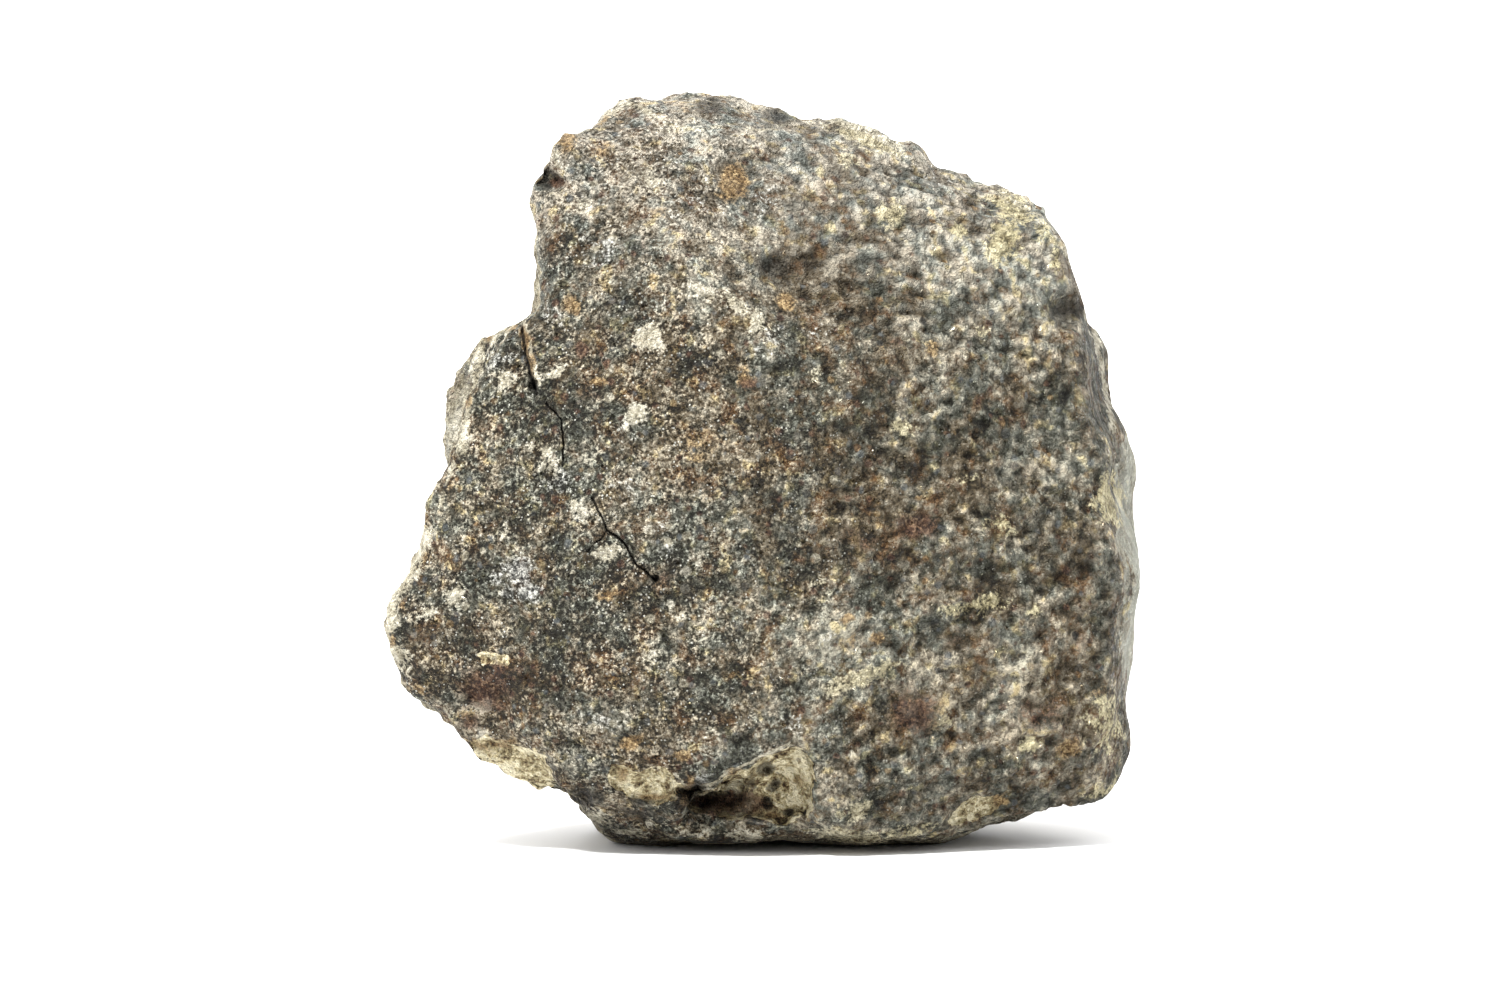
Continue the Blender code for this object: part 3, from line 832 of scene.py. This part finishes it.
# DARK_AND_SHADE is the near black of the dark spots and of the painted shade.
DARK_AND_SHADE = (0.01, 0.008, 0.005, 1.0)
DARK_GRAIN = (0.03, 0.032, 0.032, 1.0)
INNER_SPECK = (0.05, 0.036, 0.02, 1.0)
FRESH_SPECK = (0.05, 0.03, 0.015, 1.0)
INNER_STAIN = (0.2, 0.12, 0.055, 1.0)
# PAINTED_CRACK_SHADE is painted shade in the cracks.
PAINTED_CRACK_SHADE = (0.008, 0.006, 0.004, 1.0)
# PAINTED_HOLLOW_SHADE is painted shade in the hollows.
PAINTED_HOLLOW_SHADE = (0.02, 0.015, 0.01, 1.0)
WALL_GREY = (0.44, 0.455, 0.395, 1.0)
BACK_GREY = (0.42, 0.41, 0.35, 1.0)

# The marks in the order in which they are painted: field, paint, how much of it shows, how grainy.
MARK_LAYERS = [
    ("metal_glint", "metal_glint", 0.8, 0.6),
    ("cream", "yellow_cream", 0.8, 0.7),
    ("pale", "cream", 0.9, 0.8),
    ("ochre", "ochre", 0.85, 0.35),
    # The dark layer is partly dark spots and partly painted shade.
    ("dark", "dark", 0.75, 0.45),
    ("rust", "rust", 0.85, 0.3),
]

# Depth in metres of the grain that is too fine for the mesh, and how much the grains tilt.
BUMP_DEPTH = 0.0007
GRAIN_TILT = 0.36
SPECULAR = 0.2

# Light: strength of the sky above, behind and in front, and of the lamp.
TOP_LIGHT = 1.9
BACK_LIGHT = 2.6
FILL_LIGHT = 0.95
LOW_LIGHT = 0.02
LAMP_ENERGY = 7.5
LAMP_WIDTH = math.radians(8)
LAMP_DIRECTION = (-0.36, -0.42, 0.83)
WHITE = (1.0, 1.0, 1.0, 1.0)
FLOOR_GREY = (0.8, 0.8, 0.8, 1.0)
FLOOR_RADIUS = 4.0


def grain_of(s):
    """The noises and cells, in millimetres of the stone's own space, that its colours share."""
    g = SimpleNamespace()
    place = s.tree.nodes.new("ShaderNodeTexCoord").outputs["Object"]
    g.mm = s.vector("SCALE", place, scale=1.0 / MM)
    drift = s.vector("SUBTRACT", s.noise(g.mm, 2.3, 2.0, 0.6, colour=True), (0.5, 0.5, 0.5))
    g.warped = s.vector("ADD", g.mm, s.vector("SCALE", drift, scale=0.15))
    g.fine = s.noise(g.mm, 5.0, 3.0, 0.75)
    g.middle = s.noise(g.mm, 1.5, 2.0, 0.6)
    g.broad = s.noise(g.mm, 0.65, 2.0, 0.6)
    g.large = s.noise(g.mm, 0.3, 1.0, 0.5)
    g.cells = s.cells(g.warped, 8.0)
    g.tone, g.glint, g.spark = s.split(g.cells["Color"])[:3]
    g.crumbs = s.cells(s.vector("ADD", g.mm, s.vector("SCALE", drift, scale=0.5)), 2.3)
    g.crumb_tone = s.split(g.crumbs["Color"])[0]
    g.crumbly = s.math("MULTIPLY_ADD", s.field("right_part"), 0.6, 0.4)
    patchy = s.math("MULTIPLY_ADD", s.noise(g.mm, 0.9, 2.0, 0.6), 2.4, -0.2)
    g.sharp = s.times(s.field("sharp"), patchy)
    g.ragged = s.total((g.middle, 1.6), (g.fine, 1.2))
    return g


def paints_of(s, g):
    """The colours of the marks, each with a grain of its own."""
    stain = s.plus(s.total((g.fine, 2.0), (g.tone, 0.5)), MARK_LEVEL)
    cream = s.total((g.fine, 1.3), (g.tone, 0.3), (g.middle, 1.4), (g.broad, 0.9))
    cream = s.ramp(s.plus(cream, CREAM_LEVEL), CREAM_RAMP)
    # The metal grains' paint is partly their own colour and partly painted glint.
    metal_glint = s.total((g.fine, 3.0), (g.tone, 0.6), (g.middle, 1.2), (s.field("metal_glint"), 0.5, 0.6))
    return {
        "rust": s.ramp(stain, RUST_RAMP),
        "ochre": s.ramp(stain, OCHRE_RAMP),
        "cream": cream,
        "yellow_cream": s.mix(s.field("right_part"), cream, YELLOWISH, "MULTIPLY"),
        "metal_glint": s.ramp(s.plus(metal_glint, MARK_LEVEL), METAL_GLINT_RAMP),
        "dark": DARK_AND_SHADE,
    }


def tinted(s, g, crust, coarse, tone):
    """The crust with blue grey in its shadows, brown, warm and rusty zones, and painted light that cools it
    towards the top.
    """
    hue = s.total((s.noise(g.mm, 0.5, 3.0, 0.6), 1.0), (s.noise(g.mm, 2.2, 1.0, 0.5), 0.35))
    hue = s.plus(hue, s.field("brownness"))
    dark_zone = s.math("MULTIPLY_ADD", s.step(coarse, -0.1, 0.3), -0.6, 1.0)
    dark_share = s.math("MULTIPLY_ADD", s.step(tone, -0.12, 0.3), -0.85, 1.0)
    crust = s.mix(s.times(s.step(hue, 0.02, -0.12), dark_zone), crust, BLUE_GREY, "MULTIPLY")
    crust = s.mix(s.times(s.step(hue, -0.02, 0.12), dark_share), crust, BROWN, "MULTIPLY")
    warm = s.mix(s.step(s.noise(g.mm, 1.3, 2.0, 0.5), 0.56, 0.68), NEUTRAL, WARM)
    crust = s.mix(1.0, crust, warm, "MULTIPLY")
    rusty = s.mix(s.step(s.noise(g.mm, 0.8, 3.0, 0.7), 0.5, 0.66), NEUTRAL, RUSTY)
    crust = s.mix(dark_share, crust, rusty, "MULTIPLY")
    return s.mix(s.field("painted_top_light"), crust, PAINTED_TOP_TINT, "MULTIPLY")


def with_round_grains(s, g, crust, cream):
    """The crust with round pale and dark grains scattered over it."""
    cells = s.cells(g.warped, 1.15)
    red, green, blue = s.split(cells["Color"])[:3]
    inside = s.within(cells, green, (0.2, 0.12), (-0.03, 0.05))
    pale = s.times(inside, s.step(red, 0.72, 0.76))
    dark = s.times(inside, s.step(blue, 0.8, 0.84))
    grainy = s.times(g.fine, 1.2)
    crust = s.mix(s.times(pale, s.times(grainy, 0.8)), crust, cream)
    return s.mix(s.times(dark, 0.6), crust, DARK_GRAIN)


def with_spots(s, g, crust, paints):
    """The crust with small rust, ochre and slate spots, each in a share of the cells."""
    cells = s.cells(g.warped, 1.9)
    red, green, blue = s.split(cells["Color"])[:3]
    inside = s.within(cells, green, (0.3, 0.1), (-0.12, 0.12))
    for pick, start, end, paint, most in (
        (red, 0.78, 0.82, paints["rust"], 0.75),
        (blue, 0.86, 0.9, paints["ochre"], 0.5),
        (red, 0.18, 0.14, SLATE, 0.6),
    ):
        share = s.times(inside, s.step(pick, start, end))
        crust = s.mix(s.times(share, most), crust, paint)
    return crust


def crust_colour(s, g, paints):
    """The weathered skin: a dark fine-grained ground with bright grains, painted glints and small stains."""
    crumb = s.total((g.crumb_tone, 0.26), (g.crumbs["Distance"], -0.4, 0.45))
    coarse = s.total((g.middle, 1.05), (g.broad, 0.85), (g.large, 0.8))
    coarse = s.plus(coarse, s.times(crumb, g.crumbly))
    fine = s.times(s.total((g.fine, 2.15), (g.tone, 0.42)), g.sharp)
    # Painted light: the crust is lighter towards the top.
    shift = s.math("MULTIPLY_ADD", s.field("painted_top_light"), 0.29, s.field("area"))
    # Painted light and shade: lighter on bulges, darker in hollows.
    shift = s.math("MULTIPLY_ADD", s.field("shading_bulge"), 2.2, shift)
    tone = s.plus(s.plus(fine, coarse), shift)
    crust = s.ramp(s.plus(tone, CRUST_LEVEL), CRUST_RAMP)
    crust = tinted(s, g, crust, coarse, tone)
    # Painted glints: bright specks in a few fine cells, stronger where the grain is sharp.
    spark = s.times(s.step(g.spark, 0.92, 0.96), s.step(g.cells["Distance"], 0.5, 0.2))
    crust = s.mix(s.times(spark, s.times(g.sharp, 0.6)), crust, PAINTED_GLINT)
    crust = with_round_grains(s, g, crust, paints["cream"])
    return with_spots(s, g, crust, paints)


def speck_share(s, g):
    """Where the dark specks of the broken stone lie. There are fewer on the smooth wall."""
    cells = s.cells(g.warped, 2.1)
    red, green = s.split(cells["Color"])[:2]
    inside = s.within(cells, green, (0.25, 0.1), (-0.04, 0.05))
    speck = s.times(inside, s.step(red, 0.62, 0.68))
    return s.times(speck, s.math("MULTIPLY_ADD", s.field("side_wall"), -0.6, 0.8))


def inner_colour(s, g, speck):
    """The pale broken stone of the sides and the back, with the grey wall at the right."""
    tone = s.total((g.fine, 1.6), (g.tone, 0.3), (g.middle, 1.6), (g.broad, 1.0))
    # Painted light and shade: lighter on bulges, darker in hollows.
    tone = s.plus(tone, s.times(s.field("shading_bulge"), 1.6))
    inner = s.ramp(s.plus(tone, INNER_LEVEL), INNER_RAMP)
    wall_share = s.math("MULTIPLY_ADD", s.step(g.broad, 0.35, 0.65), 0.3, 0.5)
    inner = s.mix(s.times(s.field("side_wall"), wall_share), inner, WALL_GREY)
    inner = s.mix(speck, inner, INNER_SPECK)
    stain = s.times(s.step(s.noise(g.mm, 0.6, 3.0, 0.65), 0.5, 0.7), 0.4)
    return s.mix(stain, inner, INNER_STAIN)


def fresh_colour(s, g, speck):
    """The cream stone inside the hollow and the chips."""
    tone = s.total((g.fine, 1.6), (g.tone, 0.4), (g.middle, 1.8), (g.crumb_tone, 0.4), (g.broad, 1.2))
    fresh = s.ramp(s.plus(tone, FRESH_LEVEL), FRESH_RAMP)
    return s.mix(s.times(speck, 0.7), fresh, FRESH_SPECK)


def with_marks(s, g, colour, paints):
    """The colour with the marks painted on it, each with a grainy outline."""
    speckle = s.total((g.fine, 1.7), (g.tone, 0.4), (g.middle, 2.4))
    for name, paint, most, spread in MARK_LAYERS:
        share = s.step(s.plus(s.field(name), s.times(speckle, spread)), 0.3, 0.7)
        share = s.times(share, s.step(s.field(name), 0.03, 0.3))
        colour = s.mix(s.times(share, most), colour, paints[paint])
    return colour


def with_depths(s, g, colour):
    """The colour with the pale slab behind, and painted shade: black in the cracks and dark in the pits and
    hollows.
    """
    behind = s.step(s.plus(s.field("behind"), s.times(g.ragged, 0.6)), 0.1, 0.9)
    behind = s.times(behind, s.field("behind"))
    colour = s.mix(s.times(behind, 0.55), colour, BACK_GREY)
    # Painted shade in the cracks, patchy along them.
    broken = s.math("MULTIPLY_ADD", s.step(g.broad, 0.42, 0.52), 0.5, 0.45)
    broken = s.times(s.field("crack"), broken)
    colour = s.mix(s.times(broken, 0.95, clamp=True), colour, PAINTED_CRACK_SHADE)
    # Painted shade in the hollows, darkest where the surface sinks deepest.
    hollow_shade = s.step(s.field("shading_bulge"), -0.02, -0.14)
    return s.mix(s.times(hollow_shade, 0.6), colour, PAINTED_HOLLOW_SHADE)


def stone_colour(s, g):
    """Crust, broken stone and chips, then the marks, the chips' rusty rims, the cracks and the pits."""
    paints = paints_of(s, g)
    speck = speck_share(s, g)
    crust_share = s.step(s.plus(s.field("crust"), g.ragged), 0.4, 0.6)
    colour = s.mix(crust_share, inner_colour(s, g, speck), crust_colour(s, g, paints))
    edge = s.times(s.rim(crust_share, 3.0), 0.5, clamp=True)
    colour = s.mix(edge, colour, paints["cream"])
    chip_share = s.step(s.plus(s.field("chip"), s.times(g.ragged, 0.8)), 0.4, 0.6)
    colour = s.mix(chip_share, colour, fresh_colour(s, g, speck))
    colour = with_marks(s, g, colour, paints)
    rusty_rim = s.times(s.rim(chip_share, 3.2), 0.75)
    colour = s.mix(rusty_rim, colour, s.mix(0.5, paints["ochre"], paints["rust"]))
    return with_depths(s, g, colour)


def add_surface(s, g):
    """The gloss of the metal grains, and the relief that is too fine for the mesh."""
    glint = s.times(s.step(g.glint, 0.955, 0.965), s.math("SUBTRACT", 1.0, s.field("crack")))
    rough = s.math("SUBTRACT", s.math("MULTIPLY_ADD", g.fine, 0.3, 0.55), s.times(glint, 0.35))
    s.put(rough, s.shader.inputs["Roughness"])
    s.put(s.times(glint, 0.8), s.shader.inputs["Metallic"])
    s.shader.inputs["Specular IOR Level"].default_value = SPECULAR
    bump = s.tree.nodes.new("ShaderNodeBump")
    bump.inputs["Distance"].default_value = BUMP_DEPTH
    bump.inputs["Strength"].default_value = 1.0
    crumbs = s.times(s.times(g.crumbs["Distance"], g.crumbly), -1.6)
    height = s.total((g.fine, 1.0), (g.middle, 1.2), (g.cells["Distance"], -0.4))
    s.put(s.plus(height, crumbs), bump.inputs["Height"])
    tilt = s.vector("SUBTRACT", g.cells["Color"], (0.5, 0.5, 0.5))
    facet = s.vector("SCALE", tilt, scale=s.times(s.field("sharp"), GRAIN_TILT))
    facet = s.vector("ADD", bump.outputs["Normal"], facet)
    s.put(s.vector("NORMALIZE", facet), s.shader.inputs["Normal"])


def stone_material():
    """The one material of the stone, which the stored fields tell where it is what."""
    material = bpy.data.materials.new("weathered_chondrite")
    s = Shade(material)
    g = grain_of(s)
    s.put(stone_colour(s, g), s.shader.inputs["Base Color"])
    add_surface(s, g)
    return material


def build_stone():
    """The stone in place of the plain solid: its skin is made even, made finer, carved and painted."""
    mesh = even_skin()
    made_finer(mesh, facing_front(mesh) > 0.0, 1)
    made_finer(mesh, near_detail(mesh), 1)
    made_finer(mesh, near_cracks(mesh, CRACK_REACH), 1)
    carve(mesh)
    paint_fields(mesh)
    write_points(mesh, read_points(mesh) * MM)
    mesh.name = "stone"
    mesh.materials.clear()
    mesh.materials.append(stone_material())
    mesh.shade_smooth()
    stone = bpy.data.objects.new("stone", mesh)
    bpy.context.scene.collection.objects.link(stone)
    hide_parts("meteorite")
    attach(stone, "root")


def build_floor():
    """A wide pale floor."""
    mesh = bpy.data.meshes.new("floor")
    shape = bmesh.new()
    bmesh.ops.create_circle(shape, cap_ends=True, segments=96, radius=FLOOR_RADIUS)
    shape.to_mesh(mesh)
    shape.free()
    material = bpy.data.materials.new("floor_paper")
    s = Shade(material)
    s.shader.inputs["Base Color"].default_value = FLOOR_GREY
    s.shader.inputs["Roughness"].default_value = 0.6
    mesh.materials.append(material)
    floor = bpy.data.objects.new("floor", mesh)
    bpy.context.scene.collection.objects.link(floor)


def build_light():
    """Soft studio light from above and a little behind, a low fill in front and a white horizon."""
    world = bpy.data.worlds.new("studio")
    bpy.context.scene.world = world
    s = Shade(world)
    split = s.tree.nodes.new("ShaderNodeSeparateXYZ")
    s.put(s.tree.nodes.new("ShaderNodeTexCoord").outputs["Generated"], split.inputs[0])
    y, z = split.outputs["Y"], split.outputs["Z"]
    top = s.times(s.step(z, 0.3, 0.7), TOP_LIGHT)
    back = s.times(s.step(y, 0.0, 0.5), BACK_LIGHT)
    fill = s.times(s.step(z, 0.05, 0.25), FILL_LIGHT)
    level = s.math("MAXIMUM", s.math("MAXIMUM", top, back), s.math("MAXIMUM", fill, LOW_LIGHT))
    background = s.tree.nodes["Background"]
    background.inputs["Color"].default_value = WHITE
    s.put(level, background.inputs["Strength"])
    lamp = bpy.data.objects.new("key", bpy.data.lights.new("key", "SUN"))
    lamp.data.energy = LAMP_ENERGY
    lamp.data.angle = LAMP_WIDTH
    lamp.rotation_euler = Vector(LAMP_DIRECTION).to_track_quat("Z", "Y").to_euler()
    bpy.context.scene.collection.objects.link(lamp)


def build_camera():
    """The camera at the place and angle of the photograph."""
    eye, _, _, forward = camera_axes()
    camera = bpy.data.objects.new("camera", bpy.data.cameras.new("camera"))
    camera.data.lens = LENS
    camera.data.sensor_width = SENSOR
    camera.data.clip_start = 0.01
    camera.data.clip_end = 20.0
    camera.location = Vector(eye) * MM
    camera.rotation_euler = Vector(forward).to_track_quat("-Z", "Y").to_euler()
    bpy.context.scene.collection.objects.link(camera)
    bpy.context.scene.camera = camera
    bpy.context.scene.view_settings.view_transform = "Standard"


build_stone()
build_floor()
build_light()
build_camera()
